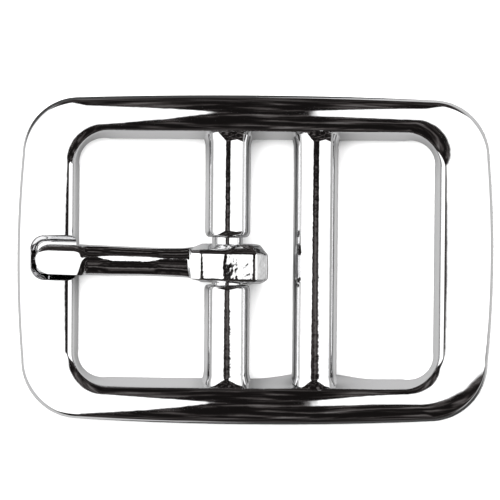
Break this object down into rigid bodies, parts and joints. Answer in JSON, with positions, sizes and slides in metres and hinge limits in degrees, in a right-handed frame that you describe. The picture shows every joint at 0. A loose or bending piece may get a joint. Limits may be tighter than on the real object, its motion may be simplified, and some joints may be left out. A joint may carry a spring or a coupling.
{
  "type": "belt buckle",
  "caption": "Bowed rectangular double-bar belt buckle with rounded corners and a hinged tongue that rests in a notch of the frame.",
  "frame": {"origin": "middle of the footprint, on the plane that the two ends of the frame rest on", "axes": "+X along the belt, away from the tongue's tip; +Y across the belt; +Z out of the polished face"},
  "size_m": [0.06, 0.0406, 0.0079],
  "materials": {
    "frame_plating": "polished, bright plated casting",
    "tongue_bar_plating": "bright plated, slightly rippled",
    "keeper_bar_plating": "bright plated, slightly rippled",
    "tongue_plating": "polished, bright plated casting"
  },
  "bodies": {
    "frame": {"frame": "frame_plating", "tongue_bar": "tongue_bar_plating", "keeper_bar": "keeper_bar_plating"},
    "tongue": {"tongue": "tongue_plating"}
  },
  "joints": [
    {"name": "tongue_hinge", "type": "hinge", "parent": "frame", "child": "tongue", "pos_m": [-0.0035, 0, 0.0041], "axis": [0, 1, 0], "range_deg": [0, 150]}
  ]
}
